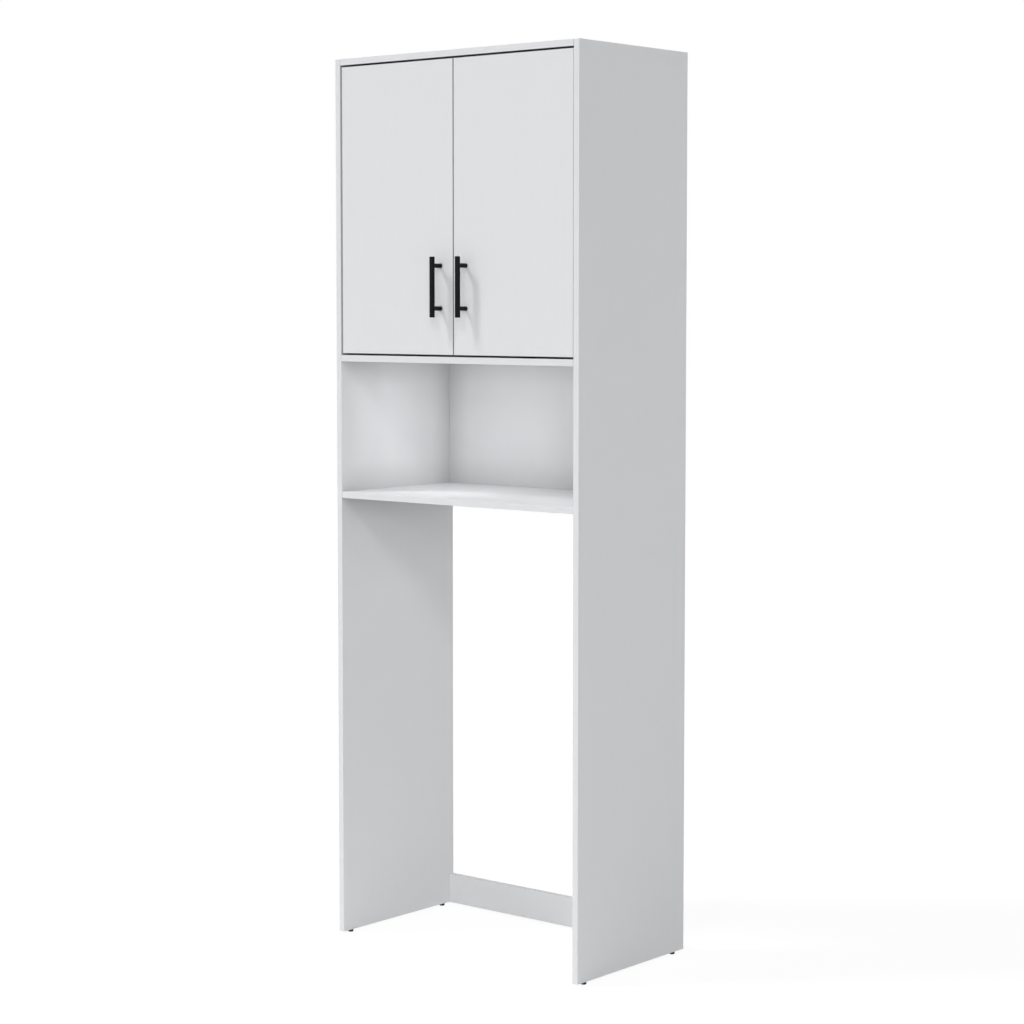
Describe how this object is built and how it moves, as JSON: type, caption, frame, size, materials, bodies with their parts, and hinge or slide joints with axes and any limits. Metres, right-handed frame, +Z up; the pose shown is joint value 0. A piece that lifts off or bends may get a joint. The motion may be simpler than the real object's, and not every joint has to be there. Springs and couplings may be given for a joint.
{
  "type": "storage cabinet",
  "caption": "Tall narrow cabinet with a doored cupboard over an open niche and a tall open bay for a washing machine.",
  "frame": {"origin": "on the floor, under the middle of the whole object's box, handles included", "axes": "+Z up, -Y out of the doors, +X to the right of a person who looks at the doors"},
  "size_m": [0.725, 0.43, 2.066],
  "materials": {
    "white_board": "satin white melamine on 15 mm chipboard",
    "white_hardboard": "white lacquered hardboard",
    "black_metal": "satin black powder coat",
    "nickel": "nickel-plated pressed steel",
    "zinc": "bare die-cast zinc",
    "steel": "bright zinc-plated steel",
    "black_plastic": "matt black moulded plastic"
  },
  "bodies": {
    "carcass": {"side_panel_left": "white_board", "side_panel_right": "white_board", "top_panel": "white_board", "cupboard_floor": "white_board", "niche_shelf": "white_board", "loose_shelf": "white_board", "rear_rail": "white_board", "back_panel": "white_hardboard", "hinge_arm_left_lower": "nickel", "hinge_arm_left_upper": "nickel", "hinge_arm_right_lower": "nickel", "hinge_arm_right_upper": "nickel", "hinge_plate_left_lower": "nickel", "hinge_plate_left_upper": "nickel", "hinge_plate_right_lower": "nickel", "hinge_plate_right_upper": "nickel", "shelf_pin_left_front": "steel", "shelf_pin_left_rear": "steel", "shelf_pin_right_front": "steel", "shelf_pin_right_rear": "steel", "foot_left_front": "black_plastic", "foot_left_rear": "black_plastic", "foot_right_front": "black_plastic", "foot_right_rear": "black_plastic", "cam_top_left_front": "zinc", "cam_top_left_rear": "zinc", "cam_top_right_front": "zinc", "cam_top_right_rear": "zinc", "cam_floor_left_front": "zinc", "cam_floor_left_rear": "zinc", "cam_floor_right_front": "zinc", "cam_floor_right_rear": "zinc", "cam_shelf_left_front": "zinc", "cam_shelf_left_rear": "zinc", "cam_shelf_right_front": "zinc", "cam_shelf_right_rear": "zinc", "cam_rail_left": "zinc", "cam_rail_right": "zinc"},
    "left_door": {"door_left": "white_board", "handle_bar_left": "black_metal", "handle_post_left_lower": "black_metal", "handle_post_left_upper": "black_metal", "handle_screw_left_lower": "steel", "handle_screw_left_upper": "steel", "hinge_cup_left_lower": "nickel", "hinge_cup_left_upper": "nickel"},
    "right_door": {"door_right": "white_board", "handle_bar_right": "black_metal", "handle_post_right_lower": "black_metal", "handle_post_right_upper": "black_metal", "handle_screw_right_lower": "steel", "handle_screw_right_upper": "steel", "hinge_cup_right_lower": "nickel", "hinge_cup_right_upper": "nickel"},
    "left_lower_link": {"hinge_link_left_lower": "nickel"},
    "left_upper_link": {"hinge_link_left_upper": "nickel"},
    "right_lower_link": {"hinge_link_right_lower": "nickel"},
    "right_upper_link": {"hinge_link_right_upper": "nickel"}
  },
  "joints": [
    {"name": "left_door_hinge", "type": "hinge", "parent": "carcass", "child": "left_door", "pos_m": [-0.3325, -0.176, 1.715], "axis": [0, 0, -1], "range_deg": [0, 95]},
    {"name": "right_door_hinge", "type": "hinge", "parent": "carcass", "child": "right_door", "pos_m": [0.3373, -0.176, 1.715], "axis": [0, 0, 1], "range_deg": [0, 95]},
    {"name": "left_lower_link_pivot", "type": "hinge", "parent": "carcass", "child": "left_lower_link", "pos_m": [-0.3135, -0.1715, 1.4835], "axis": [0, 0, -1], "range_deg": [-25, 0]},
    {"name": "left_upper_link_pivot", "type": "hinge", "parent": "carcass", "child": "left_upper_link", "pos_m": [-0.3135, -0.1715, 1.9465], "axis": [0, 0, -1], "range_deg": [-25, 0]},
    {"name": "right_lower_link_pivot", "type": "hinge", "parent": "carcass", "child": "right_lower_link", "pos_m": [0.3183, -0.1715, 1.4835], "axis": [0, 0, 1], "range_deg": [-25, 0]},
    {"name": "right_upper_link_pivot", "type": "hinge", "parent": "carcass", "child": "right_upper_link", "pos_m": [0.3183, -0.1715, 1.9465], "axis": [0, 0, 1], "range_deg": [-25, 0]}
  ],
  "couplings": [
    {"joint": "left_lower_link_pivot", "follows": "left_door_hinge", "ratio": -0.26},
    {"joint": "left_upper_link_pivot", "follows": "left_door_hinge", "ratio": -0.26},
    {"joint": "right_lower_link_pivot", "follows": "right_door_hinge", "ratio": -0.26},
    {"joint": "right_upper_link_pivot", "follows": "right_door_hinge", "ratio": -0.26}
  ]
}
